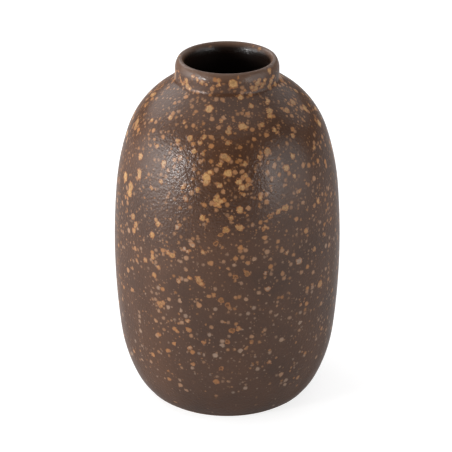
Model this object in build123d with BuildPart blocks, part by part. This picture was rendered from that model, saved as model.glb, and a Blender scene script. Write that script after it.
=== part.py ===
from build123d import *
import math
import os

# A stoneware bottle vase with a short collar neck, turned about Z and standing on the XY plane.
# Lengths are millimetres and angles are degrees. An angle of the outline is the direction in which
# its outward normal points: 0 is level, outwards, and 90 is straight up.

# Body: the finished outside, glaze included
belly_radius = 90.0
belly_height = 118.0
belly_arc_radius = 600.0
belly_top_angle = 5.5
belly_low_angle = -6.2
foot_radius = 65.4
foot_angle = -47.0
shoulder_rise = 145.8
deck_length = 14.4
deck_angle = 54.5

# How far the first of each pair of arcs reaches, as a share of the second one's reach
shoulder_reach_share = 1.0
heel_reach_share = 0.45

# Collar and lip
mouth_radius = 32.2
lip_thickness = 7.9
lip_rise = 8.0
lip_top_radius = 2.2
collar_height = 16.2
crease_radius = 5.0

# Clay and glaze
wall_thickness = 5.5
glaze_thickness = 0.5
glaze_line_height = 2.5

# Floor and foot
floor_thickness = 8.0
foot_recess_depth = 3.0
foot_ring_width = 8.0

# Joints between the clay members
floor_rebate_depth = 4.0
floor_rebate_setback = 4.0
tongue_width = 2.0
tongue_depth = 3.0
collar_ledge_width = 3.6
collar_ledge_thickness = 3.4

# How far a cutting shape runs past what it cuts
overrun = 1.0

# Heights and radii that follow from the sizes above
shoulder_height = belly_height + shoulder_rise
overall_height = shoulder_height + collar_height
collar_radius = mouth_radius + lip_thickness
lip_spring_height = overall_height - lip_rise
floor_height = foot_recess_depth + floor_thickness
wall_seat_height = floor_height - floor_rebate_depth
floor_spigot_radius = foot_radius - floor_rebate_setback
foot_recess_radius = foot_radius - foot_ring_width
clay_collar_radius = collar_radius - glaze_thickness
ledge_radius = clay_collar_radius - collar_ledge_width

# A radius that lies well outside the pot, for cutting shapes that take in its whole width
beyond_radius = belly_radius + foot_radius

# Depths below the finished outside, measured square to it
clay_inset = glaze_thickness
inside_inset = clay_inset + wall_thickness
liner_inset = inside_inset + glaze_thickness


def heading(angle):
    """Unit vector in the section's plane, at this angle from level."""
    return Vector(1, 0).rotate(Axis.Z, angle)


def arc_pair(start, start_angle, end, end_angle, reach_share):
    """Two tangent arcs from start to end, square to the two outline angles.

    An arc is its centre, its radius and its first and last outline angle. Each arc's two tangents
    are equally long, and reach_share sets the first arc's tangents against the second arc's.
    """
    leave = heading(start_angle + 90)
    arrive = heading(end_angle + 90)
    gap = end - start
    mixed = leave * reach_share + arrive
    squared = 2 * reach_share * (1 - leave.dot(arrive))
    linear = gap.dot(mixed)
    reach = (math.sqrt(linear**2 + squared * gap.dot(gap)) - linear) / squared
    bridge = (end - arrive * reach) - (start + leave * reach * reach_share)
    joint_angle = math.degrees(math.atan2(-bridge.X, bridge.Y))
    first_radius = reach * reach_share / math.tan(math.radians(joint_angle - start_angle) / 2)
    last_radius = reach / math.tan(math.radians(end_angle - joint_angle) / 2)
    first = (start - heading(start_angle) * first_radius, first_radius, start_angle, joint_angle)
    last = (end - heading(end_angle) * last_radius, last_radius, joint_angle, end_angle)
    return [first, last]


# The body's outline from the foot up to the deck, as arcs that run into each other
belly_centre = Vector(belly_radius - belly_arc_radius, belly_height)
belly_low = belly_centre + heading(belly_low_angle) * belly_arc_radius
belly_top = belly_centre + heading(belly_top_angle) * belly_arc_radius
crease = Vector(collar_radius, shoulder_height)
deck_edge = crease - heading(deck_angle + 90) * deck_length
body_arcs = [
    *arc_pair(Vector(foot_radius, 0), foot_angle, belly_low, belly_low_angle, heel_reach_share),
    (belly_centre, belly_arc_radius, belly_low_angle, belly_top_angle),
    *arc_pair(belly_top, belly_top_angle, deck_edge, deck_angle, shoulder_reach_share),
]

# The fillet in the crease between the deck and the collar
crease_reach = crease_radius * math.tan(math.radians(deck_angle) / 2)
crease_centre = crease + Vector(crease_radius, crease_reach)

# The lip is an arch of three arcs: a long one up each side and a short one over the top
lip_half = lip_thickness / 2
lip_top_rise = lip_rise - lip_top_radius
lip_side_radius = (lip_half**2 - lip_top_radius**2 + lip_top_rise**2) / (2 * (lip_half - lip_top_radius))
lip_side_angle = math.degrees(math.atan2(lip_top_rise, lip_side_radius - lip_half))
lip_arcs = [
    (Vector(collar_radius - lip_side_radius, lip_spring_height), lip_side_radius, 0, lip_side_angle),
    (Vector(collar_radius - lip_half, lip_spring_height + lip_top_rise), lip_top_radius,
     lip_side_angle, 180 - lip_side_angle),
    (Vector(mouth_radius + lip_side_radius, lip_spring_height), lip_side_radius,
     180 - lip_side_angle, 180),
]

# The clay's ceiling beside the collar lies level where the inside of the deck meets the collar
inside_deck_edge = deck_edge - heading(deck_angle) * inside_inset
ceiling_height = inside_deck_edge.Y + (inside_deck_edge.X - clay_collar_radius) / math.tan(
    math.radians(deck_angle))
collar_seat_height = ceiling_height + collar_ledge_thickness


def on_arc(arc, angle, inset):
    """The point of an arc at this outline angle, this far below the finished outside."""
    centre, radius, first_angle, last_angle = arc
    return centre + heading(angle) * (radius - inset)


def draw_arcs(arcs, inset):
    """Draw a run of arcs, this far below the finished outside, and return its two ends."""
    for arc in arcs:
        centre, radius, first_angle, last_angle = arc
        middle_angle = (first_angle + last_angle) / 2
        ThreePointArc(*[on_arc(arc, angle, inset) for angle in (first_angle, middle_angle, last_angle)])
    return on_arc(arcs[0], arcs[0][2], inset), on_arc(arcs[-1], arcs[-1][3], inset)


def slab(inner, outer, low, high, mode):
    """A rectangle of the section, between two radii and two heights."""
    with Locations((inner, low)):
        Rectangle(outer - inner, high - low, align=(Align.MIN, Align.MIN), mode=mode)


def outside(inset, mode=Mode.ADD):
    """All that lies this far below the finished outside, with the mouth filled up to the lip's spring."""
    with BuildLine() as section:
        foot, deck = draw_arcs(body_arcs, inset)
        crease_bend = crease_radius + inset
        crease_low = crease_centre - heading(deck_angle) * crease_bend
        crease_middle = crease_centre - heading(deck_angle / 2) * crease_bend
        crease_top = crease_centre - heading(0) * crease_bend
        Line(deck, crease_low)
        ThreePointArc(crease_low, crease_middle, crease_top)
        lip_outer, lip_inner = draw_arcs(lip_arcs, inset)
        Line(crease_top, lip_outer)
        Polyline(lip_inner, (0, lip_spring_height), (0, 0), (foot.X, 0))
        if inset > 0:
            Line((foot.X, 0), foot)
    make_face(section.edges(), mode=mode)


def hollow(inset, mode=Mode.ADD):
    """The room inside the pot, this far below the finished outside, from the floor up to the lip's spring."""
    coat = inset - inside_inset
    bore_radius = mouth_radius + glaze_thickness - coat
    ceiling = ceiling_height - coat
    with BuildSketch(mode=Mode.PRIVATE) as room:
        with BuildLine():
            foot, deck = draw_arcs(body_arcs, inset)
            ceiling_edge = deck.X - (ceiling - deck.Y) * math.tan(math.radians(deck_angle))
            Line(deck, (ceiling_edge, ceiling))
            Polyline((ceiling_edge, ceiling), (bore_radius, ceiling), (bore_radius, lip_spring_height),
                     (0, lip_spring_height), (0, foot.Y), foot)
        make_face()
        slab(0, beyond_radius, floor_height + coat, overall_height, Mode.INTERSECT)
    add(room.sketch, mode=mode)


# Floor disc with its foot ring, rebated round the edge for the lower wall
with BuildPart() as foot_slab:
    with BuildSketch(Plane.XZ):
        outside(clay_inset)
        slab(0, beyond_radius, 0, floor_height, Mode.INTERSECT)
        slab(floor_spigot_radius, beyond_radius, wall_seat_height, floor_height + overrun, Mode.SUBTRACT)
        with BuildLine():
            recess_top_radius = foot_recess_radius - foot_recess_depth
            Polyline((0, 0), (foot_recess_radius, 0), (recess_top_radius, foot_recess_depth),
                     (0, foot_recess_depth), close=True)
        make_face(mode=Mode.SUBTRACT)
    revolve(axis=Axis.Z)

# Wall from the floor disc up to the widest circle, with a groove in its rim
groove_middle = belly_radius - clay_inset - wall_thickness / 2
groove_inner = groove_middle - tongue_width / 2
groove_outer = groove_middle + tongue_width / 2
with BuildPart() as lower_wall:
    with BuildSketch(Plane.XZ):
        outside(clay_inset)
        slab(0, beyond_radius, wall_seat_height, belly_height, Mode.INTERSECT)
        hollow(inside_inset, Mode.SUBTRACT)
        slab(0, floor_spigot_radius, 0, floor_height, Mode.SUBTRACT)
        slab(groove_inner, groove_outer, belly_height - tongue_depth, belly_height + overrun, Mode.SUBTRACT)
    revolve(axis=Axis.Z)

# Wall from the widest circle up over the shoulder, with a tongue below and a ledge for the collar
with BuildPart() as upper_wall:
    with BuildSketch(Plane.XZ):
        outside(clay_inset)
        slab(0, beyond_radius, belly_height, overall_height, Mode.INTERSECT)
        hollow(inside_inset, Mode.SUBTRACT)
        slab(0, ledge_radius, ceiling_height - overrun, overall_height, Mode.SUBTRACT)
        slab(0, clay_collar_radius, collar_seat_height, overall_height, Mode.SUBTRACT)
        slab(groove_inner, groove_outer, belly_height - tongue_depth, belly_height + overrun, Mode.ADD)
    revolve(axis=Axis.Z)

# Collar with the rounded lip, standing on the ledge
with BuildPart() as neck_collar:
    with BuildSketch(Plane.XZ):
        outside(clay_inset)
        slab(0, clay_collar_radius, ceiling_height, overall_height, Mode.INTERSECT)
        hollow(inside_inset, Mode.SUBTRACT)
        slab(ledge_radius, beyond_radius, ceiling_height - overrun, collar_seat_height, Mode.SUBTRACT)
    revolve(axis=Axis.Z)

# Speckled glaze over the outside and round the lip, wiped off above the foot
with BuildPart() as outer_glaze:
    with BuildSketch(Plane.XZ):
        outside(0)
        slab(0, beyond_radius, glaze_line_height, overall_height, Mode.INTERSECT)
        outside(clay_inset, Mode.SUBTRACT)
    revolve(axis=Axis.Z)

# Glaze that lines the inside up to the lip
with BuildPart() as liner_glaze:
    with BuildSketch(Plane.XZ):
        hollow(inside_inset)
        hollow(liner_inset, Mode.SUBTRACT)
    revolve(axis=Axis.Z)

pieces = {
    "foot_slab": foot_slab,
    "lower_wall": lower_wall,
    "upper_wall": upper_wall,
    "neck_collar": neck_collar,
    "outer_glaze": outer_glaze,
    "liner_glaze": liner_glaze,
}
os.makedirs("parts", exist_ok=True)
for name, piece in pieces.items():
    piece.part.label = name
    export_step(piece.part, f"parts/{name}.step")
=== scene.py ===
# %% [markdown]
# # A speckled stoneware vase
#
# The object is a wheel-thrown stoneware pot: a barrel-shaped body, a short collar with a thick
# rounded lip, and a satin brown glaze full of tan iron speckles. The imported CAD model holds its
# real sizes, so this lesson only dresses it. Everything on a pot is round about one axis, so most
# of the shapes here are outlines that are spun, which is also how a potter makes them.

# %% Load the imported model
import math
import random
from itertools import accumulate

import bpy
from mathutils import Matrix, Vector, kdtree


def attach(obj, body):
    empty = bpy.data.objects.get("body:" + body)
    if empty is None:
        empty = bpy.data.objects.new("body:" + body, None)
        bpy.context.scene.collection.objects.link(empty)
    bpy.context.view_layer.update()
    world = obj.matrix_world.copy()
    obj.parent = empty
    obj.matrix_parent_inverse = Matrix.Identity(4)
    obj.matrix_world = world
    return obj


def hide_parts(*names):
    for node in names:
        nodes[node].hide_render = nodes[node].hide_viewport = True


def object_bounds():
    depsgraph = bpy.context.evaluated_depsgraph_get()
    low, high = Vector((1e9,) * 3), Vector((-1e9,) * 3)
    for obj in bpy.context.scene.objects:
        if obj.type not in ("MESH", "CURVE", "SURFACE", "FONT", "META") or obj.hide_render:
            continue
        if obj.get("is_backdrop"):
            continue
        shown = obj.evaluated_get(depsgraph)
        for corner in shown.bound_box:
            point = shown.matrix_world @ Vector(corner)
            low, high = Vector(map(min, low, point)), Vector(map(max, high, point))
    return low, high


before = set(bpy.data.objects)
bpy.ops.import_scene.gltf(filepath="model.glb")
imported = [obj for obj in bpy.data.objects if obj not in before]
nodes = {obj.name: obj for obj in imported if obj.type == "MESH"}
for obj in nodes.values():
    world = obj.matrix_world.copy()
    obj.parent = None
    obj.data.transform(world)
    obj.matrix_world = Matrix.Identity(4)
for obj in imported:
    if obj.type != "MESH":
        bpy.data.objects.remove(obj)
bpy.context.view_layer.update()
print("CAD nodes:", sorted(nodes))

# %% [markdown]
# ## Sizes
#
# The sizes are those of the part's own source, in millimetres. Blender works in metres, so a
# length is multiplied by MM where it becomes a place in space. An angle of the outline is the
# direction in which its outward normal points: 0 is level, and 90 is straight up.

# %% The pot's sizes
MM = 0.001
BELLY_RADIUS, BELLY_HEIGHT, BELLY_ARC_RADIUS = 90.0, 118.0, 600.0
BELLY_TOP_ANGLE, BELLY_LOW_ANGLE = 5.5, -6.2
FOOT_RADIUS, FOOT_ANGLE = 65.4, -47.0
SHOULDER_RISE, DECK_LENGTH, DECK_ANGLE = 145.8, 14.4, 54.5
SHOULDER_REACH_SHARE, HEEL_REACH_SHARE = 1.0, 0.45
MOUTH_RADIUS, LIP_THICKNESS, LIP_RISE, LIP_TOP_RADIUS = 32.2, 7.9, 8.0, 2.2
COLLAR_HEIGHT, CREASE_RADIUS = 16.2, 5.0
WALL_THICKNESS, GLAZE_THICKNESS, GLAZE_LINE_HEIGHT = 5.5, 0.5, 2.5
FLOOR_THICKNESS, FOOT_RECESS_DEPTH, FOOT_RING_WIDTH = 8.0, 3.0, 8.0
FLOOR_REBATE_DEPTH, FLOOR_REBATE_SETBACK = 4.0, 4.0

shoulder_height = BELLY_HEIGHT + SHOULDER_RISE
overall_height = shoulder_height + COLLAR_HEIGHT
collar_radius = MOUTH_RADIUS + LIP_THICKNESS
lip_spring_height = overall_height - LIP_RISE
floor_height = FOOT_RECESS_DEPTH + FLOOR_THICKNESS
inside_inset = GLAZE_THICKNESS + WALL_THICKNESS
liner_inset = inside_inset + GLAZE_THICKNESS
print(f"The pot is {overall_height:.0f} mm tall and {2 * BELLY_RADIUS:.0f} mm wide")

# %% [markdown]
# ## The outline
#
# A potter's rib leaves smooth curves that run into each other. Here the outline is a run of
# arcs, each tangent to the next, found by the same formula as in the CAD source. It could also
# be a Bezier curve drawn by eye, but arcs keep the Blender pieces exactly on the CAD surfaces.

# %% Arcs of the outline
def heading(angle):
    """Unit vector at this angle from level, as (out, up)."""
    return Vector((math.cos(math.radians(angle)), math.sin(math.radians(angle))))


def arc_pair(start, start_angle, end, end_angle, reach_share):
    """Two tangent arcs from start to end, square to the two outline angles."""
    leave, arrive, gap = heading(start_angle + 90), heading(end_angle + 90), end - start
    squared = 2 * reach_share * (1 - leave.dot(arrive))
    linear = gap.dot(leave * reach_share + arrive)
    reach = (math.sqrt(linear**2 + squared * gap.dot(gap)) - linear) / squared
    bridge = (end - arrive * reach) - (start + leave * reach * reach_share)
    joint = math.degrees(math.atan2(-bridge.x, bridge.y))
    first_radius = reach * reach_share / math.tan(math.radians(joint - start_angle) / 2)
    last_radius = reach / math.tan(math.radians(end_angle - joint) / 2)
    return [(start - heading(start_angle) * first_radius, first_radius, start_angle, joint),
            (end - heading(end_angle) * last_radius, last_radius, joint, end_angle)]


belly_centre = Vector((BELLY_RADIUS - BELLY_ARC_RADIUS, BELLY_HEIGHT))
belly_low = belly_centre + heading(BELLY_LOW_ANGLE) * BELLY_ARC_RADIUS
belly_top = belly_centre + heading(BELLY_TOP_ANGLE) * BELLY_ARC_RADIUS
crease = Vector((collar_radius, shoulder_height))
deck_edge = crease - heading(DECK_ANGLE + 90) * DECK_LENGTH
body_arcs = [
    *arc_pair(Vector((FOOT_RADIUS, 0)), FOOT_ANGLE, belly_low, BELLY_LOW_ANGLE, HEEL_REACH_SHARE),
    (belly_centre, BELLY_ARC_RADIUS, BELLY_LOW_ANGLE, BELLY_TOP_ANGLE),
    *arc_pair(belly_top, BELLY_TOP_ANGLE, deck_edge, DECK_ANGLE, SHOULDER_REACH_SHARE),
]

# The crease turns the other way, so its radius is negative
crease_rise = CREASE_RADIUS * math.tan(math.radians(DECK_ANGLE) / 2)
crease_arc = (crease + Vector((CREASE_RADIUS, crease_rise)), -CREASE_RADIUS, DECK_ANGLE, 0)

# The lip is an arch: a long arc up each side and a short one over the top
lip_half = LIP_THICKNESS / 2
lip_top_rise = LIP_RISE - LIP_TOP_RADIUS
side_radius = (lip_half**2 - LIP_TOP_RADIUS**2 + lip_top_rise**2) / (2 * (lip_half - LIP_TOP_RADIUS))
side_angle = math.degrees(math.atan2(lip_top_rise, side_radius - lip_half))
lip_arcs = [
    (Vector((collar_radius - side_radius, lip_spring_height)), side_radius, 0, side_angle),
    (Vector((collar_radius - lip_half, lip_spring_height + lip_top_rise)), LIP_TOP_RADIUS,
     side_angle, 180 - side_angle),
    (Vector((MOUTH_RADIUS + side_radius, lip_spring_height)), side_radius, 180 - side_angle, 180),
]
print("Body arcs, radius in mm:", [round(arc[1], 1) for arc in body_arcs])

# %% Points along the arcs
def straight(start, end, spacing):
    """Points from start to end, about this far apart, without the end itself."""
    count = max(1, round((end - start).length / spacing))
    return [start.lerp(end, i / count) for i in range(count)]


def along(arcs, inset, spacing, least):
    """Points along arcs and the straight stretches between them, this far below the outside."""
    points = []
    for centre, radius, first, last in arcs:
        depth = radius - inset
        count = max(least, round(abs(math.radians(last - first) * depth) / spacing))
        bend = [centre + heading(first + (last - first) * i / count) * depth for i in range(count + 1)]
        if points:
            points += straight(points.pop(), bend[0], spacing)
        points += bend
    return points


def cut_below(arcs, inset, height):
    """The arcs with the first one shortened to start at this height."""
    centre, radius, first, last = arcs[0]
    start = math.degrees(math.asin((height - centre.y) / (radius - inset)))
    return [(centre, radius, start, last), *arcs[1:]]


# %% [markdown]
# ## Turning a piece
#
# Every piece of the pot is turned. The helper below starts from a plane, merges it to a single
# point, extrudes that point along the outline and spins the line about the pot's axis. A Screw
# modifier would do as well, but Spin leaves a plain mesh with nothing to apply. The doubles at the
# seam and at the axis are merged before the normals are turned outwards.

# %% Spin helper
SMOOTHED_ANGLE = 50
MERGE_GAP = 0.005


def turned_piece(name, outline, around):
    """Extrude a point along an outline of (out, up) millimetres, spin it and close the seam."""
    bpy.ops.object.select_all(action="DESELECT")
    start = outline[0] * MM
    bpy.ops.mesh.primitive_plane_add(size=MM, location=(start.x, 0, start.y))
    piece = bpy.context.object
    piece.name = piece.data.name = name
    bpy.ops.object.transform_apply(location=True, rotation=False, scale=False)
    bpy.ops.object.mode_set(mode="EDIT")
    bpy.ops.mesh.select_all(action="SELECT")
    bpy.ops.mesh.merge(type="CENTER")
    for here, there in zip(outline, outline[1:]):
        step = (there - here) * MM
        bpy.ops.mesh.extrude_vertices_move(TRANSFORM_OT_translate={"value": (step.x, 0, step.y)})
    bpy.ops.mesh.select_all(action="SELECT")
    bpy.ops.mesh.spin(steps=around, angle=2 * math.pi, center=(0, 0, 0), axis=(0, 0, 1))
    bpy.ops.mesh.select_all(action="SELECT")
    bpy.ops.mesh.remove_doubles(threshold=MERGE_GAP * MM)
    bpy.ops.mesh.normals_make_consistent(inside=False)
    bpy.ops.object.mode_set(mode="OBJECT")
    bpy.ops.object.shade_smooth_by_angle(angle=math.radians(SMOOTHED_ANGLE))
    return piece


def tell(piece):
    """Print how large a piece is and how many triangles it has."""
    triangles = sum(len(face.vertices) - 2 for face in piece.data.polygons)
    size = ", ".join(f"{length / MM:.1f}" for length in piece.dimensions)
    print(f"{piece.name}: {size} mm, {triangles} triangles")


# %% [markdown]
# ## The outer glaze
#
# The glaze is a skin half a millimetre thick. It runs from a line wiped clean above the foot, over
# the shoulder and round the lip, and ends just inside the mouth. It is modelled as a closed skin,
# so that it has a true thickness at its lower edge, where real glaze rolls into a small bead. A
# Solidify modifier could thicken a single sheet, but it wouldn't give the bead.

# %% Turn the glaze coat
GLAZE_STEPS_AROUND = 256
SKIN_SPACING, BACK_SPACING = 1.1, 7.0
FINE_STEPS, COARSE_STEPS = 8, 4
BEAD_ANGLES = (140, 90, 40)

outside_arcs = [*body_arcs, crease_arc, *lip_arcs]
skin = along(cut_below(outside_arcs, 0, GLAZE_LINE_HEIGHT), 0, SKIN_SPACING, FINE_STEPS)
back_arcs = cut_below(outside_arcs, GLAZE_THICKNESS, GLAZE_LINE_HEIGHT)
back = along(back_arcs, GLAZE_THICKNESS, BACK_SPACING, COARSE_STEPS)
bead_centre = (skin[0] + back[0]) / 2
bead_radius = (skin[0] - back[0]).length / 2
bead = [bead_centre + heading(-angle) * bead_radius for angle in BEAD_ANGLES]
glaze_outline = [*skin, *reversed(back), *bead, skin[0]]
glaze_coat = turned_piece("speckled_glaze_coat", glaze_outline, GLAZE_STEPS_AROUND)
tell(glaze_coat)

# %% [markdown]
# Nothing thrown by hand is perfectly round. Two Displace modifiers with cloud textures give the
# skin the slow unevenness of a hand-thrown wall and the shallow dimples of a glaze that has run a
# little. A mid level of 1 only ever moves the skin inwards, so the pot never grows past its real
# size, and a vertex group keeps the hidden back of the skin where it is.

# %% Uneven skin
# The name of each unevenness, its width and its depth
UNEVENNESS = [("thrown_unevenness", 34.0, 0.16), ("glaze_dimples", 5.0, 0.05)]
SKIN_TOLERANCE = GLAZE_THICKNESS / 3

skin_places = kdtree.KDTree(len(skin))
for index, point in enumerate(skin):
    skin_places.insert((point.x, point.y, 0), index)
skin_places.balance()


def on_skin(place):
    """Whether a place in metres lies on the outside of the glaze and not on its back."""
    out, up = math.hypot(place.x, place.y) / MM, place.z / MM
    nearest, index, distance = skin_places.find((out, up, 0))
    return distance < SKIN_TOLERANCE


skin_group = glaze_coat.vertex_groups.new(name="skin")
skin_group.add([v.index for v in glaze_coat.data.vertices if on_skin(v.co)], 1.0, "REPLACE")
for name, width, depth in UNEVENNESS:
    clouds = bpy.data.textures.new(name, "CLOUDS")
    clouds.noise_scale = width * MM
    uneven = glaze_coat.modifiers.new(name, "DISPLACE")
    uneven.texture, uneven.texture_coords = clouds, "LOCAL"
    uneven.mid_level, uneven.strength = 1.0, depth * MM
    uneven.vertex_group = skin_group.name
    bpy.ops.object.modifier_apply(modifier=name)
tell(glaze_coat)

# %% [markdown]
# ## The liner glaze
#
# The inside is lined with a smoother, shinier glaze, which is what makes stoneware hold flowers in
# water. Fingers leave throwing rings in the wall and in the floor. They are modelled as shallow
# waves in the outline, because a bump would vanish at the grazing angle seen through the mouth.

# %% Turn the liner
LINER_STEPS_AROUND = 192
LINER_SPACING = 1.3
RING_PITCH, RING_DEPTH = 7.5, 0.3

ceiling_start = deck_edge - heading(DECK_ANGLE) * inside_inset
deck_slope = math.tan(math.radians(DECK_ANGLE))
ceiling_height = ceiling_start.y + (ceiling_start.x - collar_radius + GLAZE_THICKNESS) / deck_slope


def room_outline(inset, spacing, least):
    """Outline of the room inside the pot, from the middle of its floor up to the lip."""
    coat = inset - inside_inset
    ceiling = ceiling_height - coat
    bore = MOUTH_RADIUS + GLAZE_THICKNESS - coat
    wall = along(cut_below(body_arcs, inset, floor_height + coat), inset, spacing, least)
    ceiling_edge = Vector((wall[-1].x - (ceiling - wall[-1].y) * deck_slope, ceiling))
    corners = [wall[-1], ceiling_edge, Vector((bore, ceiling)), Vector((bore, lip_spring_height))]
    top = [point for pair in zip(corners, corners[1:]) for point in straight(*pair, spacing)]
    base = straight(Vector((0, floor_height + coat)), wall[0], spacing)
    return base, wall[:-1], [*top, corners[-1]]


def ring_wave(length):
    """From 0 to the full ring depth and back, once in every ring pitch."""
    return RING_DEPTH * (0.5 - 0.5 * math.cos(2 * math.pi * length / RING_PITCH))


base, wall, top = room_outline(liner_inset, LINER_SPACING, FINE_STEPS)
base = [base[0], *[p - Vector((0, ring_wave(p.x))) for p in base[1:]]]
wall = [p + Vector((ring_wave(p.y), 0)) for p in wall]
liner_back = [p for part in room_outline(inside_inset, BACK_SPACING, COARSE_STEPS) for p in part]
liner_outline = [*base, *wall, *top, *reversed(liner_back)]
liner_coat = turned_piece("liner_glaze_coat", liner_outline, LINER_STEPS_AROUND)
tell(liner_coat)

# %% [markdown]
# ## The foot
#
# The pot stands on a turned foot ring of bare clay, because glaze would stick it to the kiln
# shelf. A trimming tool leaves fine grooves in the recess and the ring's edges are wiped soft with
# a sponge. A bump could draw the grooves, but then the exported mesh would be smooth there, so they
# are part of the outline. A bevel softens the two edges of the ring.

# %% Turn the foot
FOOT_STEPS_AROUND = 192
GROOVE_PITCH, GROOVE_DEPTH, STEPS_PER_GROOVE = 2.4, 0.18, 8
HEEL_SPACING = 0.6

recess_radius = FOOT_RADIUS - FOOT_RING_WIDTH
recess_top_radius = recess_radius - FOOT_RECESS_DEPTH
seat_height = floor_height - FLOOR_REBATE_DEPTH
spigot_radius = FOOT_RADIUS - FLOOR_REBATE_SETBACK


def groove(point):
    """Lift a point of the recess by the depth of a trimming groove."""
    wave = 0.5 - 0.5 * math.cos(2 * math.pi * point.x / GROOVE_PITCH)
    return point + Vector((0, GROOVE_DEPTH * wave))


recess_middle = Vector((0, FOOT_RECESS_DEPTH))
recess_edge = Vector((recess_top_radius, FOOT_RECESS_DEPTH))
recess = straight(recess_middle, recess_edge, GROOVE_PITCH / STEPS_PER_GROOVE)
recess = [groove(p) for p in recess[STEPS_PER_GROOVE:]]
heel_arc = body_arcs[0]
heel = along([heel_arc], GLAZE_THICKNESS, HEEL_SPACING, FINE_STEPS)
ring_edge = Vector((heel[0].x, 0))
heel = [p for p in heel if p.y < seat_height]
seat = math.degrees(math.asin((seat_height - heel_arc[0].y) / (heel_arc[1] - GLAZE_THICKNESS)))
shelf = heel_arc[0] + heading(seat) * (heel_arc[1] - GLAZE_THICKNESS)
foot_outline = [
    recess_middle, *recess, recess_edge,
    Vector((recess_radius, 0)), ring_edge, *heel, shelf,
    Vector((spigot_radius, seat_height)), Vector((spigot_radius, floor_height)), Vector((0, floor_height)),
]
turned_foot = turned_piece("turned_foot", foot_outline, FOOT_STEPS_AROUND)

# %% Soften the foot ring's edges
EDGE_SOFTNESS, EDGE_STEPS = 0.7, 4
EDGE_TOLERANCE = EDGE_SOFTNESS / 10

bpy.ops.object.mode_set(mode="EDIT")
bpy.ops.mesh.select_mode(type="EDGE")
bpy.ops.mesh.select_all(action="DESELECT")
bpy.ops.object.mode_set(mode="OBJECT")
for edge in turned_foot.data.edges:
    ends = [turned_foot.data.vertices[i].co / MM for i in edge.vertices]
    low = all(end.z < EDGE_TOLERANCE for end in ends)
    same = abs(ends[0].xy.length - ends[1].xy.length) < EDGE_TOLERANCE
    edge.select = low and same
ring_edges = sum(edge.select for edge in turned_foot.data.edges)
bpy.ops.object.mode_set(mode="EDIT")
bpy.ops.mesh.bevel(offset=EDGE_SOFTNESS * MM, segments=EDGE_STEPS, affect="EDGES", clamp_overlap=True)
bpy.ops.mesh.select_all(action="SELECT")
bpy.ops.mesh.normals_make_consistent(inside=False)
bpy.ops.object.mode_set(mode="OBJECT")
bpy.ops.object.shade_smooth_by_angle(angle=math.radians(SMOOTHED_ANGLE))
print("Bevelled edges:", ring_edges)
tell(turned_foot)

# %% [markdown]
# ## The pieces ride on the CAD body
#
# Each new piece stands for the CAD node that it dresses. The three clay walls keep their CAD
# meshes, because they lie hidden between the two coats of glaze.

# %% Ride and replace
for piece, node, slot in [
    (glaze_coat, "outer_glaze", "speckled_glaze"),
    (liner_coat, "liner_glaze", "liner_glaze"),
    (turned_foot, "foot_slab", "bare_stoneware"),
]:
    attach(piece, "root")
    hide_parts(node)
    print(piece.name, "stands for", node)

# %% [markdown]
# ## Camera
#
# The picture was taken with a long lens from a little above, so the mouth shows as a flat oval.
# The aim, distance and tilt were found by matching the pot's outline in the picture.

# %% Camera
PICTURE_SIDE = 452
CAMERA_DISTANCE, CAMERA_TILT, AIM_HEIGHT = 1400.0, 25.56, 137.147
FOCAL_PIXELS, AXIS_OFFSET_PIXELS = 1755.5, 1.24
SENSOR_WIDTH = 36.0

aim = Vector((0, 0, AIM_HEIGHT)) * MM
tilt = math.radians(CAMERA_TILT)
back_to_camera = Vector((0, -math.cos(tilt), math.sin(tilt)))
bpy.ops.object.camera_add(location=aim + back_to_camera * CAMERA_DISTANCE * MM,
                          rotation=(math.pi / 2 - tilt, 0, 0))
camera = bpy.context.object
camera.name = "camera"
camera.data.sensor_width = SENSOR_WIDTH
camera.data.lens = FOCAL_PIXELS / PICTURE_SIDE * SENSOR_WIDTH
camera.data.shift_x = -AXIS_OFFSET_PIXELS / PICTURE_SIDE
bpy.context.scene.camera = camera
print(f"Lens {camera.data.lens:.1f} mm")
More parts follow.
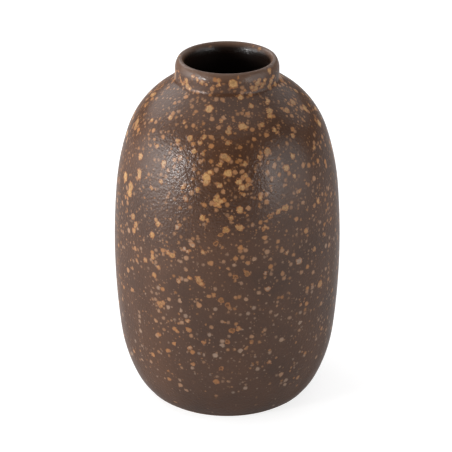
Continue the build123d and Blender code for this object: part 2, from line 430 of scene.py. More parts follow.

# %% [markdown]
# ## Where the speckles are
#
# The speckles are grains of iron in the clay and the glaze that melt through in the kiln. They are
# larger and closer together towards the shoulder, and almost none are left near the foot. The
# larger ones on the front are listed as places in the picture, as (across, down, half size) in
# pixels, and a ray from the camera sets each of them on the glaze. The sides and the back, which
# the picture doesn't show, are filled by a seeded random generator, until each height has as large
# a share of speckles as it has on the front. Noise alone would be simpler, but it can't put a
# speckle where the real pot has one.

# %% Speckles listed in the picture
TAN_SPECKLES = [
    (233, 83.8, 5.2), (218.8, 81, 2.4), (219, 85.2, 2.2), (186.5, 81, 3.2), (187.3, 86, 3.4),
    (180, 77.5, 2.2), (202.5, 82, 2.3), (258, 83, 3.6), (256, 88, 3.4), (271, 81, 3.4), (269.5, 87, 3.4),
    (269.4, 70.6, 3.2), (259.4, 49.4, 2.2), (240.6, 97, 3.2), (209.4, 108.8, 4.4), (221.5, 121, 2.7),
    (228.4, 131.7, 3.4), (242, 126.3, 4.2), (262, 124.4, 2.9), (274.3, 129.5, 2.8), (277, 132, 2.2),
    (251, 105.6, 3.2), (268, 100.6, 3.0), (269.4, 111, 4.0), (270, 116.3, 3.0), (287, 110.6, 3.0),
    (293, 102, 4.0), (305, 108, 4.4), (190, 138, 3.4), (204, 137, 3.0), (200.3, 142.6, 2.8),
    (177.5, 141.3, 2.8), (170, 117.5, 3.0), (152, 120, 2.6), (137, 122, 4.2), (135.7, 127, 3.6),
    (184.4, 122.5, 2.3), (157, 146.3, 2.4), (194, 151.3, 2.8), (203, 153.8, 2.8), (224.3, 156.5, 3.8),
    (228, 159, 3.0), (220, 164, 2.6), (228.5, 173, 4.3), (206.5, 177, 4.6), (206, 182, 3.6),
    (219.4, 185, 3.2), (197.5, 190, 3.0), (161.3, 181.3, 2.8), (152, 188.5, 2.4), (130.8, 186, 5.0),
    (129.6, 193, 5.0), (125.6, 176.3, 5.0), (139.4, 172.5, 4.0), (140.6, 156, 3.6), (267.5, 151.3, 3.9),
    (259.4, 157, 2.6), (245, 163.8, 3.1), (245.6, 175.6, 2.8), (239, 182, 3.8), (242, 187.5, 3.6),
    (247.5, 185, 2.8), (243.8, 195, 2.6), (261.3, 197.5, 3.1), (293, 156.3, 3.4), (286.3, 168, 3.8),
    (294.4, 175.6, 2.5), (300, 190.6, 2.4), (293, 135.6, 2.8), (228, 143, 2.8), (183, 187, 2.6),
    (314.4, 147, 2.6), (216.5, 200.5, 3.4), (221, 201.5, 3.4), (218.5, 205, 3.0), (240, 210, 3.8),
    (231.3, 218, 2.8), (240.6, 228, 3.4), (202.5, 218, 3.4), (207.5, 220.6, 2.3), (158, 223.8, 3.5),
    (152, 235, 3.4), (133, 216.5, 3.8), (136, 224.4, 3.4), (134.4, 230.6, 3.0), (172, 255.5, 3.6),
    (168, 253.5, 2.6), (152.5, 257, 3.2), (145.6, 260, 3.2), (158, 267.5, 2.6), (154.4, 275, 3.0),
    (202.5, 252, 2.6), (286.3, 207.5, 3.2), (278, 211.3, 2.8), (265, 227.5, 2.5), (306.3, 230.6, 2.9),
    (314.4, 249.4, 2.9), (318, 201.3, 3.0), (320, 284, 4.5), (198.5, 279.5, 3.8), (201.5, 284, 3.2),
    (189.4, 278, 2.6), (160, 304.4, 3.8), (163.5, 303, 2.6), (213.8, 295, 2.6), (188.8, 330, 3.0),
    (177, 331.3, 2.6), (158.8, 334.4, 2.6), (238.5, 328.8, 2.8), (203.8, 342.3, 2.5), (167.5, 350.6, 2.3),
    (193, 364.4, 2.5), (216.3, 382, 3.2), (252, 342, 2.3), (193, 76.5, 2.2), (197, 79.5, 2.2),
    (202, 83, 2.6), (206.5, 84.5, 2), (178.5, 71, 1.8), (183, 84, 2.2), (190, 88, 2.2), (262, 85, 3.2),
    (265, 80, 2.6), (273, 77, 2.6), (275, 84, 3), (252, 87, 2.4), (259, 80.5, 2.4), (238, 77.5, 1.6),
    (250, 94.5, 2.4), (213, 88, 1.8), (245, 90, 2.0),
]
RINGED_SPECKLES = [
    (226.5, 230, 3.9), (220.8, 234.8, 2.8), (215.6, 243.5, 2.9), (270, 216.3, 2.8), (247.5, 273.8, 3.1),
    (235.6, 277, 2.7), (221.3, 300.6, 3.1), (228, 305, 3.0), (232, 330.6, 2.9), (227.5, 342, 2.6),
    (220.6, 368.5, 2.5),
]
PALE_SPECKLES = [
    (163.8, 163, 3.3), (180, 158, 2.9), (173.8, 167, 1.9), (186, 199, 2.9), (177.5, 227.5, 2.8),
    (184.6, 249, 2.3), (188, 252, 2.3), (193, 245.5, 2.5), (299, 261.3, 4.0), (287, 252.5, 2.6),
    (178.8, 281.3, 2.7), (268, 288.8, 3.1), (265.6, 273, 2.4), (190, 348, 2.6), (187.5, 320.6, 2.7),
    (268, 163, 2.0), (269, 362, 2.2), (300.6, 305, 2.1),
]
print("Speckles placed by eye:", len(TAN_SPECKLES) + len(RINGED_SPECKLES) + len(PALE_SPECKLES))

# %% Sight lines and companion speckles
def picture_ray(across, down):
    """Direction from the camera through a point of the picture."""
    right, up = Vector((1, 0, 0)), back_to_camera.cross(Vector((1, 0, 0)))
    middle = PICTURE_SIDE / 2
    sideways = right * (across - middle - AXIS_OFFSET_PIXELS)
    upwards = up * (middle - down)
    return (sideways + upwards - back_to_camera * FOCAL_PIXELS).normalized()


SPECKLE_SEED = 41
COMPANION_CHANCE, COMPANION_AWAY, COMPANION_SIZE = 0.5, (0.6, 1.4), (0.4, 0.8)

scatter = random.Random(SPECKLE_SEED)


def companions(place, half, look):
    """Smaller speckles that run into one, which give it an uneven shape."""
    found = []
    while scatter.random() < COMPANION_CHANCE:
        away = Vector([scatter.gauss(0, 1) for axis in "xyz"]).normalized()
        away = away * half * scatter.uniform(*COMPANION_AWAY)
        found.append((place + away, half * scatter.uniform(*COMPANION_SIZE), *look))
    return found


# %% Give each chosen speckle its place, size and look
CHOSEN_SHRINK, LOOK_SPREAD = 0.98, (0.4, 1.6)

# A look is how pale a speckle is and how dark its core is, each from 0 to 1
TAN_LOOK, RINGED_LOOK, PALE_LOOK = (0.2, 0.3), (0.0, 1.0), (0.9, 0.0)

# A speckle is its place and its half size, in millimetres, and its look
speckles = []
for chosen, usual_look in [
    (TAN_SPECKLES, TAN_LOOK), (RINGED_SPECKLES, RINGED_LOOK), (PALE_SPECKLES, PALE_LOOK),
]:
    for across, down, half in chosen:
        hit, place, normal, face = glaze_coat.ray_cast(camera.location, picture_ray(across, down))
        if hit:
            depth = (camera.location - place).dot(back_to_camera)
            look = [min(1, trait * scatter.uniform(*LOOK_SPREAD)) for trait in usual_look]
            size = CHOSEN_SHRINK * half * depth / MM / FOCAL_PIXELS
            speckles.append((place / MM, size, *look))
            speckles.extend(companions(place / MM, size, look))
print("Set on the glaze:", len(speckles))

# %% Scatter more over the sides and the back
SEEN_ARC = 150
HEIGHT_BANDS = [(2, 65), (65, 127), (127, 183), (183, 234), (234, 262), (262, 272)]
USUAL_HALF, HALF_SPREAD, LARGEST_HALF = 1.9, 0.3, 3.8

seen_edge = math.radians(90 - SEEN_ARC / 2)
chosen_speckles = list(speckles)
body_skin = [(a, b) for a, b in zip(skin, skin[1:]) if max(a.y, b.y) < lip_spring_height]
for low, high in HEIGHT_BANDS:
    stretch = [(a, b) for a, b in body_skin if low <= (a.y + b.y) / 2 < high]
    summed = list(accumulate((a + b).x * (b - a).length for a, b in stretch))
    room_left = sum(half**2 for place, half, *look in chosen_speckles if low <= place.z < high)
    room_left *= (360 - SEEN_ARC) / SEEN_ARC
    while room_left > 0:
        a, b = scatter.choices(stretch, cum_weights=summed)[0]
        spot = a.lerp(b, scatter.random())
        turn = scatter.uniform(-seen_edge, math.pi + seen_edge)
        place = Vector((spot.x * math.cos(turn), spot.x * math.sin(turn), spot.y))
        half = min(LARGEST_HALF, USUAL_HALF * math.exp(scatter.gauss(0, HALF_SPREAD)))
        greying = 1 - spot.y / overall_height
        look = (min(1, scatter.random() ** 2 + greying * scatter.random()), scatter.random() ** 2)
        speckles.append((place, half, *look))
        room_left -= half**2
        speckles.extend(companions(place, half, look))
print("Speckles in all:", len(speckles))

# %% [markdown]
# ## What each face knows
#
# Each face of the glaze remembers the three speckles nearest to its middle: their centres, half
# sizes and looks. The shader then measures the true distance from every point of that face to
# those centres, so a speckle has an edge that is far finer than the mesh, and neighbours run
# into each other.

# %% Nearest speckles of each face
NEAR_COUNT = 12
RANKS = ["first", "second", "third"]

tree = kdtree.KDTree(len(speckles))
for index, (place, half, *look) in enumerate(speckles):
    tree.insert(place, index)
tree.balance()
centres, traits = [[] for rank in RANKS], [[] for rank in RANKS]
for face in glaze_coat.data.polygons:
    near = tree.find_n(face.center / MM, NEAR_COUNT)
    ranked = sorted((distance - speckles[i][1], i) for co, i, distance in near)
    for rank, (gap, index) in enumerate(ranked[:len(RANKS)]):
        place, *look = speckles[index]
        centres[rank].extend(place)
        traits[rank].extend(look)
for rank, name in enumerate(RANKS):
    for kind, values in [("centre", centres[rank]), ("traits", traits[rank])]:
        attribute = glaze_coat.data.attributes.new(f"{name}_speckle_{kind}", "FLOAT_VECTOR", "FACE")
        attribute.data.foreach_set("vector", values)
print("Faces that know their speckles:", len(glaze_coat.data.polygons))

# %% [markdown]
# ## Materials
#
# A material is a small tree of nodes. One helper adds a node, sets it and links it, and one
# function turns a colour written as sRGB hex into the linear numbers that Blender works in.

# %% Helpers for materials
def linear(hex_colour):
    """An sRGB colour such as '7F5A40' as linear red, green, blue and alpha."""
    parts = [int(hex_colour[i:i + 2], 16) / 255 for i in (0, 2, 4)]
    return [c / 12.92 if c <= 0.04045 else ((c + 0.055) / 1.055) ** 2.4 for c in parts] + [1.0]


def add(tree, kind, settings=None, **links):
    """Add a node, set its properties, and set or link each named or numbered input."""
    node = tree.nodes.new("ShaderNode" + kind)
    for key, value in (settings or {}).items():
        setattr(node, key, value)
    for key, value in links.items():
        numbered = key[0] == "i" and key[1:].isdigit()
        socket = node.inputs[int(key[1:]) if numbered else key.replace("_", " ")]
        if isinstance(value, bpy.types.NodeSocket):
            tree.links.new(value, socket)
        else:
            socket.default_value = value
    return node


def new_material(name):
    """An empty node material and its tree."""
    material = bpy.data.materials.new(name)
    material.use_nodes = True
    material.node_tree.nodes.clear()
    return material, material.node_tree


def millimetres(tree):
    """The place on the object in millimetres, so that pattern sizes can be written as they are."""
    place = add(tree, "TexCoord").outputs["Object"]
    return add(tree, "VectorMath", {"operation": "SCALE"}, i0=place, Scale=1 / MM).outputs["Vector"]


# %% [markdown]
# ### Bare stoneware
#
# Iron-bearing stoneware fires to a warm buff. It is matt and a little sandy, because grains of grit
# lie in it. The eye sees a dull, dry surface with dark grains about half a millimetre wide. Noise
# would give clouds, so the grains are Voronoi cells, each of which has a tone of its own.

# %% Bare stoneware
GRIT_WIDTH, GRIT_RISE, CLAY_CLOUD_WIDTH = 0.6, 0.15, 14.0
DARK_GRAINS, PLAIN_GRAINS, GRAIN_DARKNESS = 0.15, 0.3, 0.6

stoneware, tree_s = new_material("fired_stoneware")
place = millimetres(tree_s)
clouds = add(tree_s, "TexNoise", Vector=place, Scale=1 / CLAY_CLOUD_WIDTH, Detail=4.0).outputs["Fac"]
grit = add(tree_s, "TexVoronoi", Vector=place, Scale=1 / GRIT_WIDTH).outputs
clay = add(tree_s, "MixRGB", Fac=clouds, Color1=linear("8A6A52"), Color2=linear("A98A6E")).outputs["Color"]
dark = add(tree_s, "MapRange", Value=grit["Color"], From_Min=DARK_GRAINS, From_Max=PLAIN_GRAINS,
           To_Min=GRAIN_DARKNESS, To_Max=0.0).outputs["Result"]
sandy = add(tree_s, "MixRGB", Fac=dark, Color1=clay, Color2=linear("4E382A")).outputs["Color"]
rough = add(tree_s, "Bump", Height=grit["Distance"], Strength=0.35, Distance=GRIT_RISE * MM).outputs["Normal"]
skin_s = add(tree_s, "BsdfPrincipled", Base_Color=sandy, Roughness=0.85, IOR=1.5, Normal=rough)
add(tree_s, "OutputMaterial", Surface=skin_s.outputs["BSDF"])
print("Made", stoneware.name)

# %% [markdown]
# ### Liner glaze
#
# The liner is a dark tenmoku-like glaze, melted smooth. It is glossy and almost black brown, so
# the eye sees a deep dark hollow with a few soft glints on the throwing rings. One colour would
# nearly do, but a slow noise keeps the hollow from looking painted. Its colour is also painted
# lighter near the lip and darker further down, as painted shade deep in the hollow.

# %% Liner glaze
LINER_CLOUD_WIDTH, LINER_SHADE_DEPTH = 18.0, 14.0

liner_glaze, tree_l = new_material("dark_liner_glaze")
place = millimetres(tree_l)
height = add(tree_l, "SeparateXYZ", Vector=place).outputs["Z"]
clouds = add(tree_l, "TexNoise", Vector=place, Scale=1 / LINER_CLOUD_WIDTH, Detail=3.0).outputs["Fac"]
shaded_depths = add(tree_l, "MixRGB", Fac=clouds, Color1=linear("0C0705"), Color2=linear("160E09")).outputs["Color"]
# Painted shade: the liner is lighter near the lip and darker further down into the hollow
near_lip = add(tree_l, "MapRange", {"interpolation_type": "SMOOTHSTEP"}, Value=height,
               From_Min=lip_spring_height - LINER_SHADE_DEPTH, From_Max=lip_spring_height).outputs["Result"]
shade_painted_liner = add(tree_l, "MixRGB", Fac=near_lip, Color1=shaded_depths, Color2=linear("1C110B")).outputs["Color"]
skin_l = add(tree_l, "BsdfPrincipled", Base_Color=shade_painted_liner, Roughness=0.34, IOR=1.5)
add(tree_l, "OutputMaterial", Surface=skin_l.outputs["BSDF"])
print("Made", liner_glaze.name)

# %% [markdown]
# ### Speckled glaze
#
# This is a satin iron glaze. It is dark brown and a little cloudy, with a fine pebbled ripple that
# breaks up reflections, and tan speckles with a brown rim, a golden heart and sometimes a darker
# core. The speckles stand a hair proud of the glaze, so the light catches them. The melted top of
# the glaze glints where the ripple tilts it to the light, so a thin clear coat lies over the satin
# base. A photo of glaze as a texture would be quicker, but nodes stay sharp at any distance.

# %% Speckled glaze: the larger speckles
WARP_WIDTH, WARP_REACH, DOT_WARP_REACH = 2.6, 4.4, 2.0
NOISE_MIDDLE = 0.5
EDGE_BLUR, RIM_WIDTH, HEART_DEPTH = 0.32, 0.1, 1.3

speckled, tree_g = new_material("satin_speckled_glaze")
place = millimetres(tree_g)
lobes = add(tree_g, "TexNoise", Vector=place, Scale=1 / WARP_WIDTH, Detail=3.0,
            Roughness=0.6).outputs["Color"]
push = add(tree_g, "VectorMath", {"operation": "SUBTRACT"},
           i0=lobes, i1=[NOISE_MIDDLE] * 3).outputs["Vector"]
warped = add(tree_g, "VectorMath", {"operation": "MULTIPLY_ADD"},
             i0=push, i1=[WARP_REACH] * 3, i2=place).outputs["Vector"]
nudged = add(tree_g, "VectorMath", {"operation": "MULTIPLY_ADD"},
             i0=push, i1=[DOT_WARP_REACH] * 3, i2=place).outputs["Vector"]
inside, look = -LARGEST_HALF, (0, 0, 0, 1)
for rank in RANKS:
    centre = add(tree_g, "Attribute", {"attribute_name": f"{rank}_speckle_centre"}).outputs["Vector"]
    traits = add(tree_g, "Attribute", {"attribute_name": f"{rank}_speckle_traits"}).outputs["Vector"]
    half = add(tree_g, "SeparateXYZ", Vector=traits).outputs["X"]
    away = add(tree_g, "VectorMath", {"operation": "DISTANCE"}, i0=warped, i1=centre).outputs["Value"]
    depth = add(tree_g, "Math", {"operation": "SUBTRACT"}, i0=half, i1=away).outputs["Value"]
    deeper = add(tree_g, "Math", {"operation": "GREATER_THAN"}, i0=depth, i1=inside).outputs["Value"]
    look = add(tree_g, "MixRGB", Fac=deeper, Color1=look, Color2=traits).outputs["Color"]
    inside = add(tree_g, "Math", {"operation": "MAXIMUM"}, i0=depth, i1=inside).outputs["Value"]
half, paleness, core = add(tree_g, "SeparateXYZ", Vector=look).outputs
speckle = add(tree_g, "MapRange", {"interpolation_type": "SMOOTHSTEP"}, Value=inside,
              From_Min=-EDGE_BLUR, From_Max=EDGE_BLUR).outputs["Result"]
heart = add(tree_g, "MapRange", {"interpolation_type": "SMOOTHSTEP"}, Value=inside,
            From_Min=RIM_WIDTH, From_Max=HEART_DEPTH).outputs["Result"]
hearted = add(tree_g, "Math", {"operation": "MULTIPLY"}, i0=heart, i1=core).outputs["Value"]
print("Nodes for the larger speckles:", len(tree_g.nodes))

# %% Speckled glaze: the brown ground, with a painted sheen on the lip
CLOUD_WIDTH, GRAIN_WIDTH, GRAIN_SHARE = 38.0, 1.3, 0.5
DARKEST_MOTTLE, PALEST_MOTTLE, LIP_SHEEN_SHARE = 0.5, 1.0, 0.7

clouds = add(tree_g, "TexNoise", Vector=place, Scale=1 / CLOUD_WIDTH, Detail=3.0).outputs["Fac"]
grain = add(tree_g, "TexNoise", Vector=place, Scale=1 / GRAIN_WIDTH, Detail=2.0).outputs["Fac"]
mottle = add(tree_g, "Math", {"operation": "MULTIPLY_ADD"},
             i0=grain, i1=GRAIN_SHARE, i2=clouds).outputs["Value"]
mixed = add(tree_g, "MapRange", Value=mottle, From_Min=DARKEST_MOTTLE,
            From_Max=PALEST_MOTTLE).outputs["Result"]
brown = add(tree_g, "MixRGB", Fac=mixed, Color1=linear("422A1C"), Color2=linear("543725")).outputs["Color"]
height = add(tree_g, "SeparateXYZ", Vector=place).outputs["Z"]
# Painted sheen: the lip's top is mixed to a lighter, greyer brown, as if it caught light from above
painted_lip_sheen = add(tree_g, "MapRange", {"interpolation_type": "SMOOTHSTEP"}, Value=height,
             From_Min=lip_spring_height, From_Max=overall_height - LIP_TOP_RADIUS,
             To_Max=LIP_SHEEN_SHARE).outputs["Result"]
ground_with_lip_sheen = add(tree_g, "MixRGB", Fac=painted_lip_sheen, Color1=brown, Color2=linear("6A5142")).outputs["Color"]
print("Nodes with the ground:", len(tree_g.nodes))

# %% Speckled glaze: small dots and dust
# Each layer of dots: their spacing and largest radius, the share of places filled, and how clear they are
DOT_LAYERS = [(4.6, 2.3, 0.68, 0.9), (2.9, 1.2, 0.65, 0.65), (1.7, 0.6, 0.5, 0.4)]
SMALLEST_SHARE, BLUR_SHARE, CLEAR_SHARE, FAINTEST_DOT = 0.3, 0.2, 0.4, 0.2

# Heights at which the dots begin, reach their usual number, crowd most and turn warm
BARE_BELOW, FULL_ABOVE, CROWDED_ABOVE, WARM_ABOVE = 8.0, 54.0, 250.0, 230.0

# Height on the lip above which almost no dots are left, and how far below it they start to thin out
LIP_EDGE, LIP_FADE = lip_spring_height + 3, 2.0

# Shares of dots left at the foot, low on the body and on the lip, and how grey the highest ones are
FOOT_SHARE, LOW_SHARE, LIP_SHARE, HIGH_GREYNESS = 0.08, 0.55, 0.06, 0.35

low_down = add(tree_g, "MapRange", {"interpolation_type": "SMOOTHSTEP"}, Value=height, From_Min=BARE_BELOW,
               From_Max=FULL_ABOVE, To_Min=FOOT_SHARE).outputs["Result"]
high_up = add(tree_g, "MapRange", Value=height, From_Min=FULL_ABOVE, From_Max=CROWDED_ABOVE,
              To_Min=LOW_SHARE).outputs["Result"]
off_lip = add(tree_g, "MapRange", Value=height, From_Min=LIP_EDGE, From_Max=LIP_EDGE - LIP_FADE,
              To_Min=LIP_SHARE).outputs["Result"]
upward = add(tree_g, "Math", {"operation": "MULTIPLY"}, i0=low_down, i1=high_up).outputs["Value"]
crowding = add(tree_g, "Math", {"operation": "MULTIPLY"}, i0=upward, i1=off_lip).outputs["Value"]
greying = add(tree_g, "MapRange", Value=height, From_Min=FULL_ABOVE, From_Max=WARM_ABOVE,
              To_Min=1.0, To_Max=HIGH_GREYNESS).outputs["Result"]
dotted, dots_rise = ground_with_lip_sheen, 0.0
for spacing, largest, share, strength in DOT_LAYERS:
    cells = add(tree_g, "TexVoronoi", Vector=nudged, Scale=1 / spacing).outputs
    luck, size, tone = add(tree_g, "SeparateXYZ", Vector=cells["Color"]).outputs
    chance = add(tree_g, "Math", {"operation": "MULTIPLY"}, i0=crowding, i1=share).outputs["Value"]
    present = add(tree_g, "Math", {"operation": "LESS_THAN"}, i0=luck, i1=chance).outputs["Value"]
    radius = add(tree_g, "MapRange", Value=size, To_Min=largest * SMALLEST_SHARE,
                 To_Max=largest).outputs["Result"]
    reach = add(tree_g, "Math", {"operation": "MULTIPLY_ADD"},
                i0=cells["Distance"], i1=-spacing, i2=radius).outputs["Value"]
    blot = add(tree_g, "MapRange", {"interpolation_type": "SMOOTHSTEP"}, Value=reach,
               From_Min=-largest * BLUR_SHARE, From_Max=largest * CLEAR_SHARE,
               To_Max=strength).outputs["Result"]
    clearness = add(tree_g, "MapRange", Value=size, To_Min=FAINTEST_DOT).outputs["Result"]
    shown = add(tree_g, "Math", {"operation": "MULTIPLY"}, i0=present, i1=clearness).outputs["Value"]
    dot = add(tree_g, "Math", {"operation": "MULTIPLY"}, i0=blot, i1=shown).outputs["Value"]
    pale = add(tree_g, "Math", {"operation": "MULTIPLY"}, i0=tone, i1=greying).outputs["Value"]
    tint = add(tree_g, "MixRGB", Fac=pale, Color1=linear("AE7542"), Color2=linear("9C8878")).outputs["Color"]
    dotted = add(tree_g, "MixRGB", Fac=dot, Color1=dotted, Color2=tint).outputs["Color"]
    dots_rise = add(tree_g, "Math", {"operation": "ADD"}, i0=dot, i1=dots_rise).outputs["Value"]
print("Nodes with the dots:", len(tree_g.nodes))

# %% Speckled glaze: colours of the larger speckles
GOLDEN_ABOVE = 200.0
WORN_GRAIN, WHOLE_GRAIN, WORN_COVER = 0.3, 0.62, 0.5

warmth = add(tree_g, "MapRange", Value=height, From_Min=FULL_ABOVE, From_Max=GOLDEN_ABOVE).outputs["Result"]
ochre = add(tree_g, "MixRGB", Fac=warmth, Color1=linear("B07439"), Color2=linear("D6A567")).outputs["Color"]
gold = add(tree_g, "MixRGB", Fac=paleness, Color1=ochre, Color2=linear("A68E7A")).outputs["Color"]
rimmed = add(tree_g, "MixRGB", Fac=heart, Color1=linear("9A6238"), Color2=gold).outputs["Color"]
cored = add(tree_g, "MixRGB", Fac=hearted, Color1=rimmed, Color2=linear("5E381F")).outputs["Color"]
worn = add(tree_g, "MapRange", Value=grain, From_Min=WORN_GRAIN, From_Max=WHOLE_GRAIN,
           To_Min=WORN_COVER, To_Max=1.0).outputs["Result"]
cover = add(tree_g, "Math", {"operation": "MULTIPLY"}, i0=speckle, i1=worn).outputs["Value"]
coloured = add(tree_g, "MixRGB", Fac=cover, Color1=dotted, Color2=cored).outputs["Color"]
print("Nodes with the speckles' colours:", len(tree_g.nodes))

# %% Speckled glaze: painted shade inside the lip
MOUTH_SHADE_RISE, MOUTH_SHADE_BLUR = 3.2, 4.0

flat = add(tree_g, "VectorMath", {"operation": "MULTIPLY"}, i0=place, i1=(1, 1, 0)).outputs["Vector"]
from_axis = add(tree_g, "VectorMath", {"operation": "LENGTH"}, i0=flat).outputs["Value"]
# Painted shade: the glaze inside the lip turns dark brown a little below its top, where shade falls into the
# mouth
deep = add(tree_g, "MapRange", {"interpolation_type": "SMOOTHSTEP"}, Value=height,
           From_Min=lip_spring_height + MOUTH_SHADE_RISE + MOUTH_SHADE_BLUR,
           From_Max=lip_spring_height + MOUTH_SHADE_RISE).outputs["Result"]
facing_in = add(tree_g, "Math", {"operation": "LESS_THAN"},
                i0=from_axis, i1=collar_radius - lip_half).outputs["Value"]
painted_mouth_shade = add(tree_g, "Math", {"operation": "MULTIPLY"}, i0=deep, i1=facing_in).outputs["Value"]
with_mouth_shade = add(tree_g, "MixRGB", Fac=painted_mouth_shade, Color1=coloured, Color2=linear("1C110B")).outputs["Color"]
print("Nodes with the inside of the lip:", len(tree_g.nodes))

# %% Speckled glaze: ripple
RIPPLE_WIDTH, RIPPLE_DEPTH, SPECKLE_RISE, DOT_RISE = 1.9, 0.5, 0.1, 0.06

# The glaze is most pebbled round one spot of the picture, and less so further away
PEBBLED_SPOT, PEBBLED_CORE, PEBBLED_REACH, CALM_SHARE = (186, 190), 30.0, 75.0, 0.5

hit, pebbled, normal, face = glaze_coat.ray_cast(camera.location, picture_ray(*PEBBLED_SPOT))
near = add(tree_g, "VectorMath", {"operation": "DISTANCE"}, i0=place, i1=pebbled / MM).outputs["Value"]
rough_here = add(tree_g, "MapRange", {"interpolation_type": "SMOOTHSTEP"}, Value=near,
                 From_Min=PEBBLED_CORE, From_Max=PEBBLED_REACH,
                 To_Min=RIPPLE_DEPTH, To_Max=RIPPLE_DEPTH * CALM_SHARE).outputs["Result"]
ripple = add(tree_g, "TexNoise", Vector=place, Scale=1 / RIPPLE_WIDTH, Detail=1.5,
             Roughness=0.5).outputs["Fac"]
rippled = add(tree_g, "Math", {"operation": "MULTIPLY"}, i0=ripple, i1=rough_here).outputs["Value"]
dots_raised = add(tree_g, "Math", {"operation": "MULTIPLY_ADD"},
                  i0=dots_rise, i1=DOT_RISE, i2=rippled).outputs["Value"]
risen = add(tree_g, "Math", {"operation": "MULTIPLY_ADD"},
            i0=speckle, i1=SPECKLE_RISE, i2=dots_raised).outputs["Value"]
relief = add(tree_g, "Bump", Height=risen, Strength=1.0, Distance=MM).outputs["Normal"]
print("Nodes with the ripple:", len(tree_g.nodes))

# %% Speckled glaze: satin base and thin clear coat
DARK_ROUGHNESS, PALE_ROUGHNESS = 0.34, 0.4

# Satin glaze keeps its colour at the rim, so its gloss falls from face on to edge on
FACE_ON, EDGE_ON = 0.25, 0.7
BASE_GLOSS, BASE_RIM_GLOSS = 0.5, 0.1
COAT_SHARE, COAT_RIM_SHARE = 0.25, 0.05

dull = add(tree_g, "MapRange", Value=mixed, To_Min=DARK_ROUGHNESS, To_Max=PALE_ROUGHNESS).outputs["Result"]
edge_on = add(tree_g, "LayerWeight", Blend=0.5).outputs["Facing"]
gloss = add(tree_g, "MapRange", Value=edge_on, From_Min=FACE_ON, From_Max=EDGE_ON,
            To_Min=BASE_GLOSS, To_Max=BASE_RIM_GLOSS).outputs["Result"]
melted = add(tree_g, "MapRange", Value=edge_on, From_Min=FACE_ON, From_Max=EDGE_ON,
             To_Min=COAT_SHARE, To_Max=COAT_RIM_SHARE).outputs["Result"]
skin_g = add(tree_g, "BsdfPrincipled", Base_Color=with_mouth_shade, Roughness=dull, IOR=1.36,
             Specular_IOR_Level=gloss, Normal=relief, Coat_Weight=melted, Coat_Roughness=0.16,
             Coat_IOR=1.5, Coat_Normal=relief)
add(tree_g, "OutputMaterial", Surface=skin_g.outputs["BSDF"])
print("Made", speckled.name, "with", len(tree_g.nodes), "nodes")

# %% Put the materials on
glaze_coat.data.materials.append(speckled)
liner_coat.data.materials.append(liner_glaze)
turned_foot.data.materials.append(stoneware)
for name in ("lower_wall", "upper_wall", "neck_collar"):
    nodes[name].data.materials.clear()
    nodes[name].data.materials.append(stoneware)
print("Clay walls keep their CAD meshes")

# %% [markdown]
# ## Floor and light
#
# The pot stands on a plain white floor that fills the picture. To the camera the floor also glows
# by itself, and more so further away, where less light falls, so it is white everywhere and still
# shows the pot's shadow. A small strong lamp on the left makes the glints. Round soft boxes on both
# sides, behind and overhead light the rest, and a dim white room fills the shadows. One large soft
# box would be simpler, but it gives no glints.

# %% Floor
FLOOR_SIDE = 30.0
FLOOR_LIFT, MIRRORED_SHARE = 0.78, 0.4
LIT_REACH, FAR_REACH = 0.9, 2.6

bpy.ops.object.select_all(action="DESELECT")
bpy.ops.mesh.primitive_plane_add(size=FLOOR_SIDE)
floor = bpy.context.object
floor.name = "floor"
floor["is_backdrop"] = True
paper, tree_f = new_material("white_paper_sweep")
seen = add(tree_f, "LightPath").outputs

# The camera sees a greyer paper than bounced light does, because it sees the glow on top of it
white = add(tree_f, "MixRGB", Fac=seen["Is Camera Ray"], Color1=linear("CACACA"),
            Color2=linear("AAAAAA")).outputs["Color"]
matt = add(tree_f, "BsdfDiffuse", Color=white).outputs["BSDF"]
spot = add(tree_f, "TexCoord").outputs["Object"]
from_pot = add(tree_f, "VectorMath", {"operation": "LENGTH"}, i0=spot).outputs["Value"]
mirrored = add(tree_f, "Math", {"operation": "MAXIMUM"},
               i0=seen["Is Glossy Ray"], i1=seen["Is Transmission Ray"]).outputs["Value"]
dimmed = add(tree_f, "Math", {"operation": "MULTIPLY"},
             i0=mirrored, i1=FLOOR_LIFT * MIRRORED_SHARE).outputs["Value"]
further = add(tree_f, "MapRange", Value=from_pot, From_Min=LIT_REACH, From_Max=FAR_REACH,
              To_Min=FLOOR_LIFT, To_Max=1.0).outputs["Result"]
direct = add(tree_f, "Math", {"operation": "MULTIPLY"}, i0=seen["Is Camera Ray"], i1=further).outputs["Value"]
lift = add(tree_f, "Math", {"operation": "MAXIMUM"}, i0=direct, i1=dimmed).outputs["Value"]
glow = add(tree_f, "Emission", Color=linear("FFFFFF"), Strength=lift).outputs["Emission"]
lit = add(tree_f, "AddShader", i0=matt, i1=glow).outputs["Shader"]
add(tree_f, "OutputMaterial", Surface=lit)
floor.data.materials.append(paper)
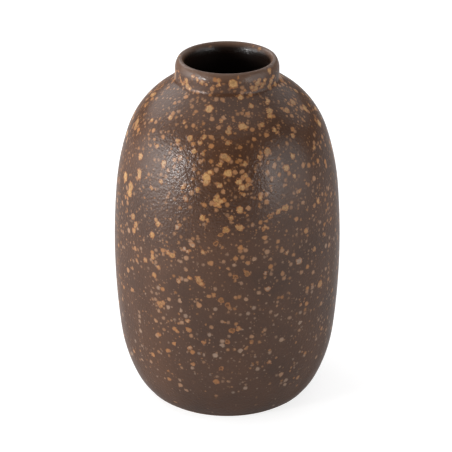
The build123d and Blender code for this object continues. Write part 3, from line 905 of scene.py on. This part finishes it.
print(f"The floor is {FLOOR_SIDE:.0f} m wide")

# %% Soft boxes
# Each lamp: degrees round from the camera and up, then its distance, width and height in metres,
# and how bright it looks, where 1 is white
SOFT_BOXES = [
    ("left_lamp", -54, 14, 1.3, 0.24, 0.22, 54.0),
    ("left_halo", -73, 12, 1.4, 0.9, 0.9, 3.7),
    ("left_soft_box", -97, 8, 1.5, 1.0, 0.9, 2.6),
    ("left_window", -90, 48, 1.8, 1.6, 1.4, 0.55),
    ("back_left_window", -136, 34, 2.0, 1.7, 1.4, 3.0),
    ("right_lamp", 48, 10, 1.4, 0.4, 0.46, 3.6),
    ("right_halo", 64, 6, 1.5, 1.7, 1.6, 1.6),
    ("back_right_window", 132, 34, 2.0, 1.8, 1.5, 1.0),
    ("back_wall", 180, 24, 2.2, 2.6, 1.4, 1.2),
    ("ceiling", 0, 86, 2.2, 2.8, 2.8, 0.86),
]
for name, turn, rise, distance, width, height, brightness in SOFT_BOXES:
    a, e = math.radians(turn), math.radians(rise)
    towards = Vector((math.sin(a) * math.cos(e), -math.cos(a) * math.cos(e), math.sin(e)))
    bpy.ops.object.light_add(type="AREA", location=aim + towards * distance,
                             rotation=towards.to_track_quat("Z", "Y").to_euler())
    lamp = bpy.context.object
    lamp.name = name
    lamp.data.shape, lamp.data.size, lamp.data.size_y = "ELLIPSE", width, height
    oval_area = math.pi / 4 * width * height
    lamp.data.energy = brightness * math.pi * oval_area
    lamp.visible_camera = False
    print(name, f"{lamp.data.energy:.1f} W")

# %% Room light
ROOM_STRENGTH = 0.06

world = bpy.data.worlds.new("white_room")
bpy.context.scene.world = world
world.use_nodes = True
world.node_tree.nodes.clear()
room = add(world.node_tree, "Background", Color=linear("FFFFFF"),
           Strength=ROOM_STRENGTH).outputs["Background"]
add(world.node_tree, "OutputWorld", Surface=room)
bpy.context.scene.view_settings.view_transform = "Standard"
print("Room strength:", ROOM_STRENGTH)

low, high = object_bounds()
print("Visual box", [round(v, 4) for v in (*low, *high)])
